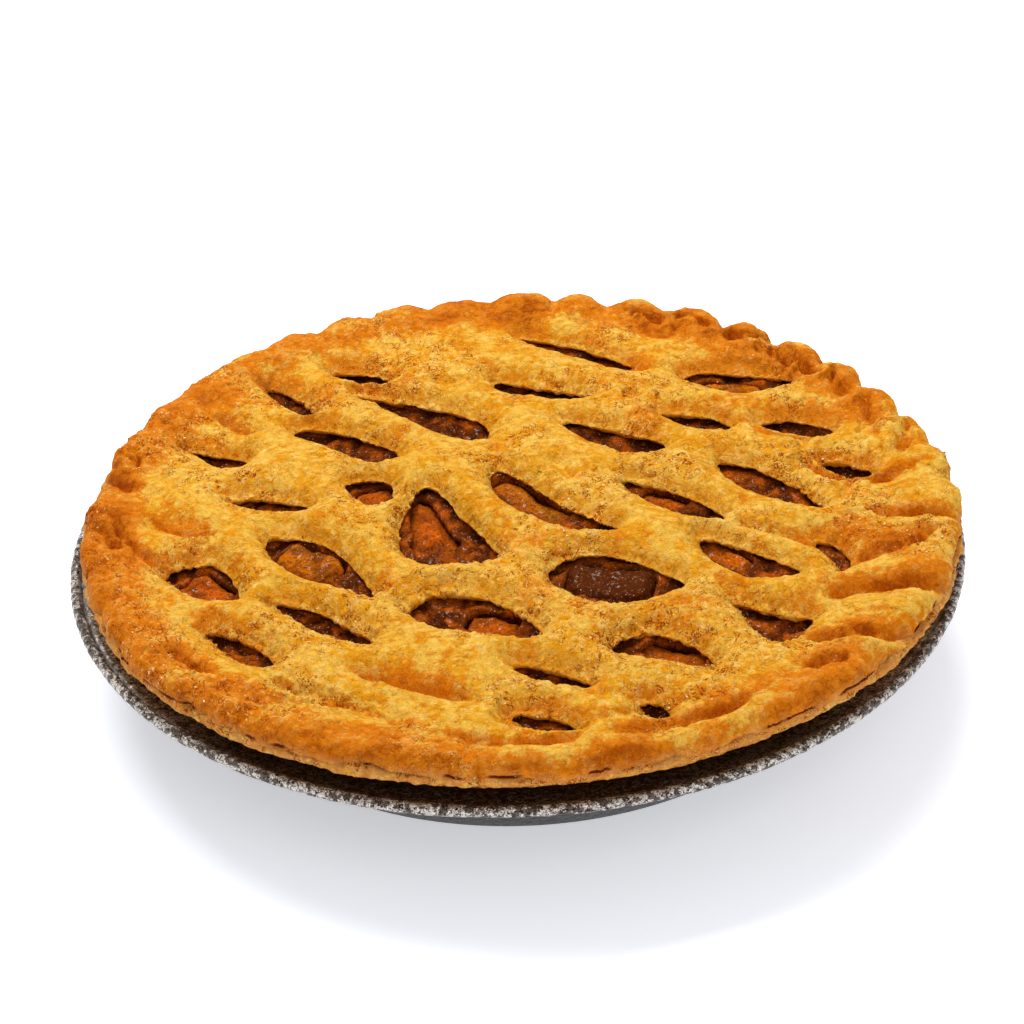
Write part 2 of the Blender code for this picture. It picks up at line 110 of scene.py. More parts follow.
class DoughLook(bpy.types.PropertyGroup):
    """Sizes and colours of the baked dough."""

    grain: length("Grain", "Spacing of the lid's mesh", 0.62 * MM)
    roll: length("Roll", "How far the far lip of a slit rolls down towards it", 2.4 * MM)
    puff: length("Puff", "How far the strands rise between the slits", 2.2 * MM)
    crease: length("Creases", "Depth of the creases between strands", 2.4 * MM)
    overhang: length("Overhang", "How far a strand swells over the crease in front of it", 1.3 * MM)
    lump: length("Lumps", "Height of the dough's broad unevenness", 0.7 * MM)
    crag: length("Crags", "Height of its fine, flaky roughness", 0.32 * MM)
    gold: colour("Gold", "Well-baked dough", rgb(230, 156, 14))
    straw: colour("Straw", "Its paler flats", rgb(240, 187, 70))
    amber: colour("Amber", "Browned edges", rgb(222, 118, 0))
    brown: colour("Brown", "The most browned patches", rgb(164, 66, 0))
    # Painted shade: the darker orange given to the slit walls and to the rolled lips that face the
    # camera.
    lip_shade: colour("Toast", "Rolled lips that face away from the oven's heat", rgb(224, 142, 26))
    # Painted shade in the fine pits and painted highlight on the tops of the flakes.
    pit_shade: colour("Pit", "Bottoms of the fine pits", rgb(210, 104, 0))
    crest_highlight: colour("Crest", "Tops of the finest flakes", rgb(255, 210, 112))
    tan: colour("Tan", "Crumbly strip under the rim's roll", rgb(212, 144, 74))
    crack: colour("Crack", "Fine cracks between flakes", rgb(160, 68, 0))
    # Painted shade: this dark colour goes into the pressed gaps along the rim's seam.
    seam: colour("Seam", "Syrup baked dry in the rim's seam", rgb(104, 34, 0))
    cream: colour("Cream", "Cut faces that the heat reached last", rgb(250, 214, 150))


class FillingLook(bpy.types.PropertyGroup):
    """Sizes and colours of the syrup and the apples."""

    dice: length("Dice", "Size of the diced apple under the syrup", 7 * MM)
    dice_height: length("Dice height", "How far the diced apple stands up", 0.9 * MM)
    cling: length("Cling", "How far up the apples the syrup climbs", 2.0 * MM)
    creep: length("Creep", "How far up the strands' sides it climbs", 1.2 * MM)
    syrup: colour("Syrup", "Spiced syrup", rgb(76, 26, 0))
    pulp: colour("Pulp", "Diced apple under syrup", rgb(184, 86, 6))
    apple: colour("Apple", "Cooked apple", rgb(214, 96, 0))
    apple_dark: colour("Dark apple", "Where syrup soaked in", rgb(92, 38, 4))
    apple_gold: colour("Golden apple", "Where no syrup reached", rgb(216, 130, 0))
    pith: colour("Pith", "Pale grains of the apple", rgb(222, 158, 100))


class TinLook(bpy.types.PropertyGroup):
    """Sizes and colours of the foil tin."""

    crinkle: length("Crinkles", "Depth of the dents in the rolled rim", 0.32 * MM)
    emboss: length("Embossing", "Depth of the flange's worm pattern", 0.15 * MM)
    foil: colour("Foil", "Bare foil", rgb(222, 214, 204))
    # Painted shade: the near-black of the cup's outer wall below the flange.
    wall: colour("Wall", "The dull outer wall", rgb(34, 29, 22))
    # Painted shade and painted dark reflection: the near-black of the flange, of its front, under
    # the crust and in the bead's folds.
    shade_and_dark_reflection: colour("Soot", "Foil that baked-on syrup darkened", rgb(60, 44, 32))


class CrumbLook(bpy.types.PropertyGroup):
    """Loose crumbs and specks."""

    flakes: count("Flakes", "Flakes of crust on the lid", 600)
    beads: count("Beads", "Glints of syrup on the filling", 500)
    size: length("Size", "Mean size of a flake", 0.7 * MM)


class StageLook(bpy.types.PropertyGroup):
    """Floor and camera."""

    floor: colour("Floor", "Pale floor", (0.92, 0.93, 0.98))
    distance: length("Camera distance", "From the camera to the pie", 898 * MM)


LOOKS = {
    "dough_look": DoughLook,
    "filling_look": FillingLook,
    "tin_look": TinLook,
    "crumb_look": CrumbLook,
    "stage_look": StageLook,
}


# Shader maths


class Value:
    """A shader socket, so that sums on it are written as Python."""

    def __init__(self, finish, socket):
        self.finish, self.socket = finish, socket

    def maths(self, operation, *values):
        inputs = dict(enumerate(values))
        return self.finish.node("ShaderNodeMath", {"operation": operation}, inputs)

    def __add__(self, other):
        return self.maths("ADD", self, other)

    def __sub__(self, other):
        return self.maths("SUBTRACT", self, other)

    def __rsub__(self, other):
        return self.maths("SUBTRACT", other, self)

    def __mul__(self, other):
        return self.maths("MULTIPLY", self, other)

    def __abs__(self):
        return self.maths("ABSOLUTE", self)

    __radd__, __rmul__ = __add__, __mul__

    def step(self, low, high):
        """0 at low and 1 at high, smooth between. Low may be the larger."""
        settings = {"interpolation_type": "SMOOTHSTEP"}
        return self.finish.node("ShaderNodeMapRange", settings, {0: self, 1: low, 2: high})


class Finish:
    """A Principled material, and short ways to add its nodes."""

    def __init__(self, name, **constants):
        self.material = bpy.data.materials.new(name)
        self.material.use_nodes = True
        self.tree = self.material.node_tree
        self.shader = self.tree.nodes["Principled BSDF"]
        for socket, value in constants.items():
            self.shader.inputs[socket.replace("_", " ")].default_value = value

    def node(self, kind, settings, inputs, output=0):
        """A node of this type, with its settings made before its sockets are fed."""
        made = self.tree.nodes.new(kind)
        for name, value in settings.items():
            setattr(made, name, value)
        for key, value in inputs.items():
            self.feed(made.inputs[key], value)
        return Value(self, made.outputs[output])

    def feed(self, socket, value):
        if isinstance(value, Value):
            self.tree.links.new(value.socket, socket)
        elif socket.type == "RGBA":
            socket.default_value = (*tuple(value)[:3], 1)
        else:
            socket.default_value = value

    def place(self):
        """Object coordinates."""
        return self.node("ShaderNodeTexCoord", {}, {}, "Object")

    def noise(self, place, size, detail=2.0, roughness=0.55, warp=0.0):
        """Cloudy noise about 0.5, with features of this size."""
        inputs = {
            "Vector": place, "Scale": 1 / size, "Detail": detail, "Roughness": roughness,
            "Distortion": warp,
        }
        return self.node("ShaderNodeTexNoise", {}, inputs)

    def cells(self, place, size):
        """Distance to the nearest of many points scattered this far apart, in that spacing."""
        return self.node("ShaderNodeTexVoronoi", {}, {"Vector": place, "Scale": 1 / size})

    def field(self, name):
        """An attribute of the mesh."""
        return self.node("ShaderNodeAttribute", {"attribute_name": name}, {}, "Fac")

    def mix(self, first, second, share):
        """From the first colour to the second."""
        return self.node("ShaderNodeMix", {"data_type": "RGBA"}, {0: share, 6: first, 7: second}, 2)

    def bump(self, *layers):
        """A normal from (height, depth in metres) layers."""
        normal = None
        for height, depth in layers:
            inputs = {"Height": height, "Distance": depth}
            if normal:
                inputs["Normal"] = normal
            normal = self.node("ShaderNodeBump", {}, inputs)
        return normal

    def show(self, **sockets):
        """The material, once these sockets of its shader are fed."""
        for socket, value in sockets.items():
            self.feed(self.shader.inputs[socket.replace("_", " ")], value)
        return self.material


# Meshes


def cad_copy(node):
    """A CAD node's solid as a bmesh, with its loose triangles joined."""
    bm = bmesh.new()
    bm.from_mesh(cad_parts[node].data)
    bmesh.ops.remove_doubles(bm, verts=bm.verts, dist=MERGE)
    return bm


def add_object(name, bm):
    mesh = bpy.data.meshes.new(name)
    bm.to_mesh(mesh)
    bm.free()
    mesh.shade_smooth()
    made = bpy.data.objects.new(name, mesh)
    bpy.context.scene.collection.objects.link(made)
    return made


def place_piece(piece, material, slot, *nodes):
    """Rides the piece on the pie with its finish, in place of these CAD nodes."""
    piece.data.materials.clear()
    piece.data.materials.append(material)
    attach(piece, "root")
    if nodes:
        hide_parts(*nodes)


def settle(piece, *modifiers):
    """Adds modifiers, each (type, settings), and makes their result the piece's mesh."""
    for kind, settings in modifiers:
        modifier = piece.modifiers.new(kind.lower(), kind)
        for name, value in settings.items():
            setattr(modifier, name, value)
    graph = bpy.context.evaluated_depsgraph_get()
    mesh = bpy.data.meshes.new_from_object(
        piece.evaluated_get(graph), preserve_all_data_layers=True, depsgraph=graph
    )
    piece.modifiers.clear()
    piece.data = mesh
    mesh.shade_smooth()


def subdivision(levels):
    return "SUBSURF", {"levels": levels, "render_levels": levels}


def voxels(size):
    return "REMESH", {"mode": "VOXEL", "voxel_size": size}


def thin(piece):
    """Joins the flattest faces of a piece that has more triangles than it may."""
    triangles = len(piece.data.loops) - 2 * len(piece.data.polygons)
    if triangles > MOST_TRIANGLES:
        settle(piece, ("DECIMATE", {"ratio": MOST_TRIANGLES / triangles}))


def points_of(mesh):
    found = np.empty(3 * len(mesh.vertices), np.float32)
    mesh.vertices.foreach_get("co", found)
    return found.reshape(-1, 3).astype(float)


def normals_of(mesh):
    found = np.empty(3 * len(mesh.vertices), np.float32)
    mesh.vertex_normals.foreach_get("vector", found)
    return found.reshape(-1, 3).astype(float)


def move_to(mesh, points):
    mesh.vertices.foreach_set("co", points.astype(np.float32).ravel())
    mesh.update()


def add_fields(mesh, **fields):
    """Numbers at each point, which a finish reads by name."""
    for name, values in fields.items():
        made = mesh.attributes.new(name, "FLOAT", "POINT")
        made.data.foreach_set("value", values.astype(np.float32))


def corner_values(cells):
    """A number from -1 to 1 for each whole-numbered place, always the same for one place."""
    mixed = cells[:, 0] * 73856093 ^ cells[:, 1] * 19349663 ^ cells[:, 2] * 83492791
    mixed = (mixed ^ (mixed >> 13)) * 1274126177 & 0x7FFFFFFF
    return (mixed ^ (mixed >> 15)) % 65536 / 32767.5 - 1


def smooth_noise(places):
    """Noise that runs smoothly from one whole-numbered place to the next."""
    cells = np.floor(places).astype(np.int64)
    share = smooth_step(places - cells, 0, 1)
    total = np.zeros(len(places))
    for corner in itertools.product((0, 1), repeat=3):
        weights = np.where(corner, share, 1 - share).prod(axis=1)
        total += weights * corner_values(cells + corner)
    return total


def unevenness(points, size, seed, octaves=1):
    """Smooth noise at each point, about -1 to 1, with features of this size or sizes."""
    places, total, reach = points / size + 17.37 * seed, np.zeros(len(points)), 1.0
    for _ in range(octaves):
        total += reach * smooth_noise(places)
        places, reach = places[:, [1, 2, 0]] * 1.93 + 5.7, 0.6 * reach
    return total


def smooth_step(values, low, high):
    """0 at low and 1 at high, smooth between. Low may be the larger."""
    share = np.clip((values - low) / (high - low), 0, 1)
    return share * share * (3 - 2 * share)


def bell(distance, width):
    """1 at no distance, and next to nothing past twice this width."""
    return np.exp(-((distance / width) ** 2))


def spread(points, reach):
    """Moves points out from the middle, by this reach for one that is at the tin's edge."""
    points[:, :2] *= (1 + reach / TIN_RADIUS)[:, None]


# Dough

# Creases from above, in millimetres: start, bend and end, then depth, 0 to 1. The strand on the
# left of someone who walks along a crease swells over it.
CREASES = (
    # the right-hand folds
    ((79, 25), (90, 11), (113, 13), 1.0), ((89, 38), (82, 29), (80, 21), 0.6),
    ((92, -8), (104, -10), (117, -15), 0.9), ((100, 13), (92, 6), (91, -7), 0.7),
    ((88, -32), (97, -26), (112, -21), 0.9), ((93, -10), (88, -20), (88, -31), 0.5),
    ((79, -51), (90, -44), (113, -47), 1.0), ((68, -69), (84, -65), (105, -68), 0.9),
    ((69, -83), (75, -79), (83, -80), 0.6),
    # the crimps behind them
    ((28, 79), (35, 76), (42, 71), 0.8), ((35, 110), (40, 103), (49, 101), 0.7),
    ((40, 102), (43, 94), (54, 96), 0.6), ((50, 102), (55, 98), (62, 95), 0.7),
    ((63, 93), (69, 88), (77, 91), 0.7), ((77, 82), (78, 76), (84, 71), 0.7),
    ((83, 79), (85, 70), (91, 64), 0.6), ((95, 66), (93, 60), (97, 51), 0.7),
    ((102, 53), (101, 40), (103, 25), 0.7), ((110, 36), (110, 27), (105, 18), 0.7),
    ((64, 43), (78, 33), (94, 37), 0.8),
    # the left-hand folds
    ((-119, 38), (-114, 32), (-109, 29), 0.6), ((-108, 37), (-107, 33), (-104, 31), 0.5),
    ((-118, 29), (-112, 24), (-103, 16), 0.8), ((-114, 0), (-111, -7), (-105, -14), 0.7),
    ((-110, 3), (-103, -12), (-88, -24), 0.8), ((-100, 5), (-91, -4), (-80, -9), 0.8),
    ((-89, -21), (-87, -15), (-82, -12), 0.5), ((-92, -62), (-84, -68), (-76, -76), 0.6),
    # between the lattice and the front rim
    ((-70, -86), (-46, -87), (-24, -104), 0.7), ((-24, -104), (0, -107), (16, -106), 0.8),
    ((16, -106), (38, -100), (60, -91), 0.8), ((-64, -77), (-55, -81), (-46, -86), 0.6),
    ((-37, -86), (-32, -94), (-26, -103), 0.5), ((-5, -90), (-2, -98), (5, -106), 0.8),
    ((16, -99), (25, -96), (30, -92), 0.5),
    # on from the slits
    ((-48, -71), (-28, -80), (-7, -91), 0.9), ((14, -85), (17, -87), (23, -88), 0.5),
    ((54, -11), (68, -17), (82, -25), 0.8), ((58, 35), (61, 36), (65, 36), 0.5),
    ((-22, 71), (-18, 66), (-14, 70), 0.5), ((12, 21), (14, 15), (18, 7), 0.6),
    ((-84, 57), (-79, 52), (-71, 43), 0.8), ((-97, -14), (-95, -21), (-93, -27), 0.5),
    ((-66, -38), (-64, -42), (-61, -47), 0.5), ((-84, -49), (-82, -54), (-80, -58), 0.5),
    ((48, -78), (50, -80), (53, -82), 0.4), ((-82, 11), (-70, 4), (-55, 1), 0.8),
    ((34, 59), (35, 56), (35, 52), 0.4),
)
RIM_START, RIM_END = 98 * MM, 108 * MM  # radii between which the lattice gives way to the rim
OVERHANG, OVERHANG_MIDDLE = 1.5 * MM, math.radians(-18)  # where the rim spreads over the tin
TUCK, TUCK_MIDDLE = 1.3 * MM, math.radians(178)  # where it is drawn in
DOME_RADIUS = 102 * MM
SLIT_DEPTH = 1.8 * MM  # dough this far below the dome counts as open
SLIT_PITCH = 0.7 * MM  # spacing of the places where that is looked up
LIP_WIDTH = 4.4 * MM  # how far from a slit its lip rolls
GROOVE_WIDTH, HOLLOW_WIDTH = 1.3 * MM, 4.5 * MM  # of a crease's bottom, and of the dip round it
SWELL_WIDTH = 5 * MM  # how far from a slit or a crease the dough starts to swell
FURROW, FURROW_WIDTH = 0.7 * MM, 0.5 * MM  # depth and half width of the gaps in the rim's seam
CRUST_GRAIN = 1.1 * MM  # spacing of the bottom crust's mesh


def crease_line(start, bend, end, depth):
    """Points along a crease a millimetre apart, each (place, depth there, way to its left)."""
    start, bend, end = (Vector(point) * MM for point in (start, bend, end))
    pull = 2 * bend - 0.5 * (start + end)
    steps = max(4, round((end - start).length / MM))
    for step in range(steps + 1):
        share = step / steps
        way = (1 - share) * (pull - start) + share * (end - pull)
        place = (1 - share) ** 2 * start + 2 * share * (1 - share) * pull + share**2 * end
        yield place, depth * min(1, 5 * share, 5 * (1 - share)), Vector((-way.y, way.x)).normalized()


def flat_tree(places):
    """A search tree over points seen from above."""
    tree = KDTree(len(places))
    for number, (x, y) in enumerate(places):
        tree.insert((x, y, 0), number)
    tree.balance()
    return tree


def nearest_of(tree, points):
    """The number of the nearest in the tree to each point, seen from above, and its distance."""
    found = [tree.find((x, y, 0))[1:] for x, y in points[:, :2].tolist()]
    return np.array([number for number, _ in found]), np.array([away for _, away in found])


def dome(radius):
    """Height of the lid's middle at these radii, by the rise of its dome."""
    crown, edge = HIGHEST.z - 2.0 * MM, HIGHEST.z - 5.4 * MM
    return crown - (crown - edge) * (radius / DOME_RADIUS) ** 2


def slit_edges(lid):
    """Places, seen from above, where the lid's slits end and its dough starts."""
    tree = BVHTree.FromObject(lid, bpy.context.evaluated_depsgraph_get())
    steps = np.arange(-DOME_RADIUS, DOME_RADIUS, SLIT_PITCH)
    opened = np.zeros((len(steps),) * 2, bool)
    for i, x in enumerate(steps.tolist()):
        for j, y in enumerate(steps.tolist()):
            radius = math.hypot(x, y)
            if radius < DOME_RADIUS:
                hit = tree.ray_cast((x, y, 2 * HIGHEST.z), (0, 0, -1))[0]
                opened[i, j] = hit is None or hit.z < dome(radius) - SLIT_DEPTH
    beside = np.zeros_like(opened)
    for shift, axis in itertools.product((1, -1), (0, 1)):
        beside |= np.roll(opened, shift, axis)
    return [(steps[i], steps[j]) for i, j in np.argwhere(beside & ~opened)]


def relief(points, lid, look):
    """How far the top rises at each point, with how close it is to a slit and to a crease."""
    edges = np.array(slit_edges(lid))
    number, away = nearest_of(flat_tree(edges), points)
    towards = (points[:, 1] - edges[number, 1]) / np.maximum(away, MM)
    lip = bell(away, LIP_WIDTH)
    far = np.clip(0.35 + 0.65 * towards, 0.15, 1)
    line = [point for crease in CREASES for point in crease_line(*crease)]
    number, off = nearest_of(flat_tree([place for place, _, _ in line]), points)
    places, depths, lefts = (np.array([point[i] for point in line]) for i in range(3))
    side = ((points[:, :2] - places[number]) * lefts[number]).sum(axis=1)
    depth = depths[number]
    groove, hollow = depth * bell(off, GROOVE_WIDTH), depth * bell(off, HOLLOW_WIDTH)
    swell = np.tanh(side / (0.7 * MM)) * depth * np.exp(-off / SWELL_WIDTH)
    between = 1 - np.exp(-np.minimum(away, off + 6 * MM * (1 - depth)) / SWELL_WIDTH)
    rise = look.puff * (between - 0.35) - look.roll * lip * far
    rise += look.overhang * swell - look.crease * (0.6 * groove + 0.4 * hollow)
    return rise, lip * far, np.maximum(groove, 0.8 * hollow * (side > 0))


def dough_roughness(points, rim, flaky, crag, look):
    """How far the baked dough stands out at each point, from its broad lumps to its flakes."""
    rise = look.lump * (0.8 * unevenness(points, 12 * MM, 1) + 0.6 * unevenness(points, 5 * MM, 2))
    rise += look.crag * crag * (0.7 + flaky)
    rise += rim * look.lump * (1.1 * unevenness(points, 7 * MM, 8) - 0.3)
    return rise - 0.3 * look.lump


def seam_sag(points):
    """Where round the rim the lid has sagged on to the crust, 0 to 1."""
    return smooth_step(unevenness(points, (7 * MM, 7 * MM, 1), 14), -0.6, -0.15)


def close_seam(points, radius):
    """Lets the rim's lower edge sag on to the crust below it, but for a few short gaps."""
    low = smooth_step(points[:, 2], SEAM + 5 * MM, SEAM + 1 * MM) * (radius > RIM_END)
    points[:, 2] -= low * (0.9 + 0.9 * seam_sag(points)) * MM
    spread(points, low * 0.6 * MM)


def mark_seam(points, normals, radius):
    """Presses short gaps into the rim's seam. Returns the crumbly strip and the gaps, 0 to 1."""
    outwards = (normals[:, :2] * points[:, :2]).sum(axis=1) / radius
    outside = smooth_step(outwards, 0.1, 0.4) * (radius > RIM_END)
    hem = smooth_step(points[:, 2], HEM + 0.6 * MM, HEM) * outside
    gaps = smooth_step(unevenness(points * (1, 1, 0), 5 * MM, 15), 0.05, 0.3) * outside
    points -= normals * (FURROW * gaps * bell(points[:, 2] - HEM, FURROW_WIDTH))[:, None]
    return hem, gaps


def overhang(points):
    """How far the rim spreads over the tin at the right, less what it is drawn in at the left."""
    angle = np.arctan2(points[:, 1], points[:, 0])
    reach = OVERHANG * smooth_step(np.cos(angle - OVERHANG_MIDDLE), 0.75, 0.97)
    reach -= TUCK * smooth_step(np.cos(angle - TUCK_MIDDLE), 0.8, 0.97)
    return reach * smooth_step(np.hypot(points[:, 0], points[:, 1]), RIM_START, RIM_END)


def lid_browning_and_shade(points, radius, rim, edges, crease, slope):
    """How brown the lid is at each point: most on its rim, behind and at the left, with painted
    shade added in its creases and on the slopes that face the camera.
    """
    outer = smooth_step(radius, 62 * MM, 95 * MM)
    back, left = smooth_step(points[:, 1], 0, 90 * MM), smooth_step(points[:, 0], 0, -100 * MM)
    behind = np.maximum(back, left) - 0.8 * smooth_step(points[:, 0], 60 * MM, 110 * MM)
    browned = 0.12 + (0.36 + 0.22 * behind) * rim + 0.30 * unevenness(points, 17 * MM, 6, 2)
    browned += 0.16 * unevenness(points, 6 * MM, 7) + 0.4 * outer * edges
    # Painted shade: creases and slopes that face the camera are made browner.
    browned += 0.4 * crease + (0.15 + 0.4 * outer) * slope
    return np.clip(browned, 0, 1.3)


def lattice_lid(look):
    """The slit, domed lid with its pinched rim."""
    lid = add_object("baked_lattice_lid", cad_copy("lattice_lid"))
    settle(lid, subdivision(2), voxels(look.grain))
    mesh = lid.data
    points, normals = points_of(mesh), normals_of(mesh)
    radius = np.hypot(points[:, 0], points[:, 1])
    rim = smooth_step(radius, RIM_START, RIM_END)
    # Slit walls, which get painted shade.
    wall = smooth_step(dome(radius) - points[:, 2], 0.8 * MM, 1.9 * MM) * (1 - rim)
    rise, lip, crease = relief(points, lid, look)
    points[:, 2] += rise * smooth_step(normals[:, 2], 0.0, 0.5)
    flaky = smooth_step(unevenness(points, 15 * MM, 5), -0.3, 0.4)
    crag = unevenness(points, 1.8 * MM, 4, 3)
    points += normals * dough_roughness(points, rim, flaky, crag, look)[:, None]
    close_seam(points, radius)
    hem, gaps = mark_seam(points, normals, radius)
    points[:, 2] = np.minimum(points[:, 2], HIGHEST.z)
    spread(points, overhang(points))
    move_to(mesh, points)
    # How far each face turns towards the camera; such faces get painted shade.
    slope = np.clip(-normals_of(mesh)[:, 1], 0, 0.7)
    browned = lid_browning_and_shade(points, radius, rim, np.maximum(lip, wall), crease, slope)
    # Painted shade: rolled lips that face the camera count as shaded walls too.
    wall = np.maximum(wall, 0.9 * lip * smooth_step(slope, 0.1, 0.6))
    add_fields(mesh, browned=browned, wall=wall, flaky=flaky, crag=crag, hem=hem, seam=gaps)
    thin(lid)
    place_piece(lid, dough_finish("baked dough", look), "lattice_lid", "lattice_lid")


def bottom_crust(look):
    """The dough under the filling, whose crumbly lip shows under the lid's edge."""
    crust = add_object("baked_bottom_crust", cad_copy("bottom_crust"))
    settle(crust, subdivision(2), voxels(CRUST_GRAIN))
    mesh = crust.data
    points, normals = points_of(mesh), normals_of(mesh)
    lip = smooth_step(points[:, 2], SEAM - 5 * MM, SEAM - 2 * MM)
    rough = 0.5 * unevenness(points, 2 * MM, 12, 3) + 0.4 * seam_sag(points)
    rise = (0.4 * unevenness(points, 6 * MM, 11) + lip * rough) * MM
    points += normals * rise[:, None]
    spread(points, overhang(points))
    move_to(mesh, points)
    browned = np.clip(0.55 + 0.3 * unevenness(points, 5 * MM, 13, 3), 0, 1)
    # Painted shade: the crust's lip under the lid's edge takes a little of the darker lip colour.
    add_fields(mesh, browned=browned, wall=0.3 * lip, flaky=lip, crag=rough, hem=lip, seam=0 * lip)
    thin(crust)
    place_piece(crust, dough_finish("crumbly edge", look), "bottom_crust", "bottom_crust")


def dough_finish(name, look):
    """Baked dough: brown where the heat reached, pale where it didn't, cracked and flaky, with
    painted shade on its walls, lips, pits and seam gaps and painted highlights on its flakes' tops.
    """
    f = Finish(name, IOR=1.4, Specular_IOR_Level=0.06)
    place = f.place()
    browned, wall, flaky = f.field("browned"), f.field("wall"), f.field("flaky")
    patch = f.noise(place, 8 * MM, 3, 0.6)
    mottle = f.noise(place, 2.2 * MM, 5, 0.7, 0.5)
    grain = f.noise(place, 0.8 * MM, 2, 0.75)
    curl = abs(f.noise(place, 2 * MM, 2, 0.5, 1.3) - 0.5)
    cracks = curl.step(0.05, 0.02) * f.noise(place, 4.5 * MM, 2).step(0.47, 0.56)
    scorch = f.noise(place, 1.1 * MM, 3, 0.8, 0.5).step(0.56, 0.64)
    flecks = f.cells(place, 1.6 * MM).step(0.24, 0.12) * grain.step(0.5, 0.6)
    pale = f.noise(place, 1.2 * MM, 4, 0.8).step(0.53, 0.66) * (0.3 + 0.7 * flaky)
    heat = browned + (mottle - 0.5) * 1.5 + (patch - 0.5) * 0.9 + (grain - 0.5) * 0.3
    tone = f.mix(look.straw, look.gold, (patch + (mottle - 0.5)).step(0.35, 0.62))
    tone = f.mix(tone, look.amber, heat.step(0.2, 0.75) * 0.9)
    tone = f.mix(tone, look.brown, heat.step(0.8, 1.35) * 0.75)
    # Painted shade on slit walls and on lips that face the camera.
    tone = f.mix(tone, look.lip_shade, wall * 0.75)
    tone = f.mix(tone, look.tan, f.field("hem") * mottle.step(0.3, 0.55) * 0.8)
    tone = f.mix(tone, look.amber, scorch * (0.3 + 0.3 * flaky))
    # Painted shade in the fine pits and painted highlight on the flakes' tops, both read from the
    # crag relief.
    fine = f.field("crag") * 0.5 + (grain - 0.5) * 1.2
    tone = f.mix(tone, look.pit_shade, fine.step(-0.15, -0.6) * 0.5)
    tone = f.mix(tone, look.crest_highlight, fine.step(0.1, 0.5) * 0.6 * (1 - 0.8 * browned))
    tone = f.mix(tone, look.cream, pale * (0.6 - 0.3 * wall) * (1 - 0.8 * browned))
    tone = f.mix(tone, look.crack, cracks * (0.35 + 0.6 * flaky))
    # Painted shade in the pressed gaps along the rim's seam.
    beside = abs(f.node("ShaderNodeSeparateXYZ", {}, {0: place}, "Z") - HEM)
    tone = f.mix(tone, look.seam, beside.step(0.5 * MM, 0.25 * MM) * f.field("seam"))
    tone = f.mix(tone, look.cream, flecks * (0.25 + 0.75 * flaky) * 0.85)
    bump = f.bump((mottle, 1.5 * MM), (grain, 0.2 * MM))
    return f.show(Base_Color=tone, Roughness=0.45 + 0.3 * mottle, Normal=bump)


# Filling

CLING_REACH, CREEP_REACH = 4 * MM, 3 * MM  # how near a chunk or a strand the syrup climbs it
SYRUP_GRAIN, APPLE_GRAIN = 1 * MM, 0.6 * MM  # spacing of their meshes
SUNK_REACH = 4 * MM  # how far from the syrup a chunk is looked at
# Painted highlight: near-white specks that stand for glints on the wet syrup and apple.
PAINTED_GLINT = rgb(240, 210, 170)
# How little syrup has stained each chunk, 0 to 1, in the order of their names.
PALE = (0.62, 0.8, 0.55, 1.0, 0.7, 0.65, 0.7, 0.6, 0.6, 0.8, 0.0)


def solid_tree(*nodes):
    """A search tree over the faces of these CAD nodes."""
    bm = bmesh.new()
    for node in nodes:
        bm.from_mesh(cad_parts[node].data)
    tree = BVHTree.FromBMesh(bm)
    bm.free()
    return tree


def away_from(tree, points, reach):
    """Distance from each point to the nearest face in the tree, up to this reach."""
    found = [tree.find_nearest(point, reach)[3] for point in points.tolist()]
    return np.array([reach if away is None else away for away in found])


def filling(look):
    """Diced apple under spiced syrup, which climbs a little up the chunks that stand in it."""
    piece = add_object("spiced_filling", cad_copy("filling"))
    settle(piece, voxels(SYRUP_GRAIN))
    mesh = piece.data
    points, normals = points_of(mesh), normals_of(mesh)
    up = smooth_step(normals[:, 2], 0.3, 0.7)
    dice = smooth_step(np.abs(unevenness(points, look.dice, 21)), 0.02, 0.35)
    rise = look.dice_height * (dice - 0.6) + 0.45 * MM * unevenness(points, 2.6 * MM, 22, 3)
    apart = away_from(solid_tree(*APPLES), points, CLING_REACH) / CLING_REACH
    under = away_from(solid_tree("lattice_lid"), points, CREEP_REACH) / CREEP_REACH
    rise += look.cling * (1 - apart) ** 2 + look.creep * (1 - under) ** 2
    points[:, 2] += up * rise
    move_to(mesh, points)
    add_fields(mesh, diced=dice, cling=up * (1 - apart))
    thin(piece)
    place_piece(piece, syrup_finish(look), "filling", "filling")


def fruit_finish(f, tone, patch, look, dark, glint_share, depth, roughness):
    """This tone with dark and pale grains, painted highlight specks and spots of gloss."""
    place = f.place()
    grain = f.noise(place, 0.9 * MM, 4, 0.75)
    tone = f.mix(tone, look.syrup, grain.step(0.5, 0.6) * dark)
    tone = f.mix(tone, look.pith, f.noise(place, 1.1 * MM, 4, 0.85).step(0.58, 0.66) * 0.5)
    specks = f.cells(place, 1.1 * MM).step(0.2, 0.1) * grain.step(0.45, 0.55)
    # Painted highlight specks.
    tone = f.mix(tone, PAINTED_GLINT, specks * glint_share)
    bump = f.bump((patch, depth), (grain, 0.9 * MM))
    shine = f.noise(place, 1.6 * MM, 3, 0.7).step(0.56, 0.66) * 0.35
    rough = roughness + 0.35 * grain
    return f.show(Base_Color=tone, Roughness=rough, Coat_Weight=shine, Normal=bump)


